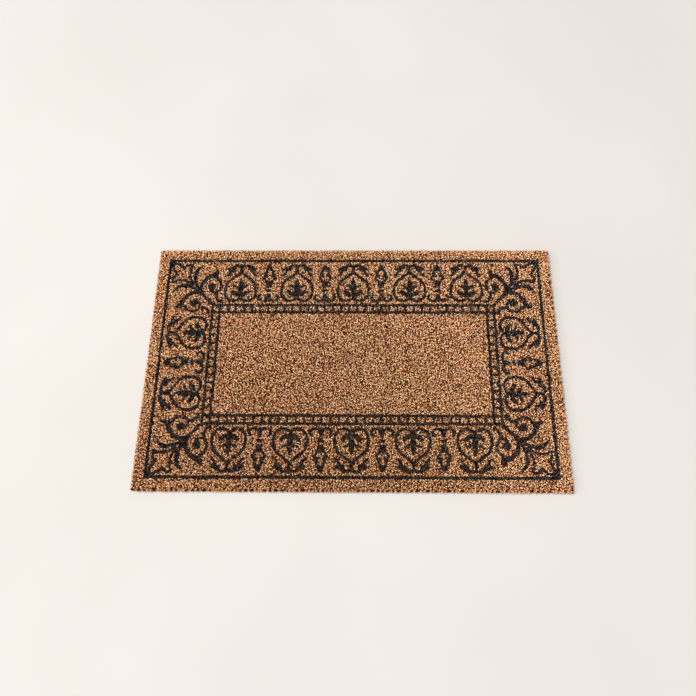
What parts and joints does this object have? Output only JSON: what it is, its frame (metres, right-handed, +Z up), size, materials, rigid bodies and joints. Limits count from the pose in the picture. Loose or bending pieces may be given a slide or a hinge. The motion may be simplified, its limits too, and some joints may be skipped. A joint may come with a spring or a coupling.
{
  "type": "coir door mat",
  "caption": "Rectangular coir door mat with a flexible backing sheet, dense cut-bristle pile and a dark printed border of hearts, finials and corner scrolls round a plain field.",
  "frame": {"origin": "centre of the underside of the backing sheet, on the floor", "axes": "+X along the mat's long side, +Y from the near long edge towards the far long edge, +Z up out of the pile"},
  "size_m": [0.737, 0.432, 0.015],
  "materials": {
    "coir_natural": "coarse matte bristle",
    "coir_dyed": "matte dyed bristle",
    "pvc_backing": "matte"
  },
  "bodies": {
    "root": {"backing_sheet": "pvc_backing", "border_pile_back": "coir_natural", "border_pile_front": "coir_natural", "border_pile_left": "coir_natural", "border_pile_right": "coir_natural", "corner_spray_back_left": "coir_dyed", "corner_spray_back_right": "coir_dyed", "corner_spray_front_left": "coir_dyed", "corner_spray_front_right": "coir_dyed", "course_ladder_back": "coir_dyed", "course_ladder_front": "coir_dyed", "course_ladder_left": "coir_dyed", "course_ladder_right": "coir_dyed", "course_pile_back": "coir_natural", "course_pile_front": "coir_natural", "course_pile_left": "coir_natural", "course_pile_right": "coir_natural", "field_pile": "coir_natural", "finials_back": "coir_dyed", "finials_front": "coir_dyed", "finials_left": "coir_dyed", "finials_right": "coir_dyed", "hearts_back": "coir_dyed", "hearts_front": "coir_dyed", "hearts_left": "coir_dyed", "hearts_right": "coir_dyed", "margin_pile_back": "coir_natural", "margin_pile_front": "coir_natural", "margin_pile_left": "coir_natural", "margin_pile_right": "coir_natural", "outer_line_back": "coir_dyed", "outer_line_front": "coir_dyed", "outer_line_left": "coir_dyed", "outer_line_right": "coir_dyed"}
  },
  "joints": []
}
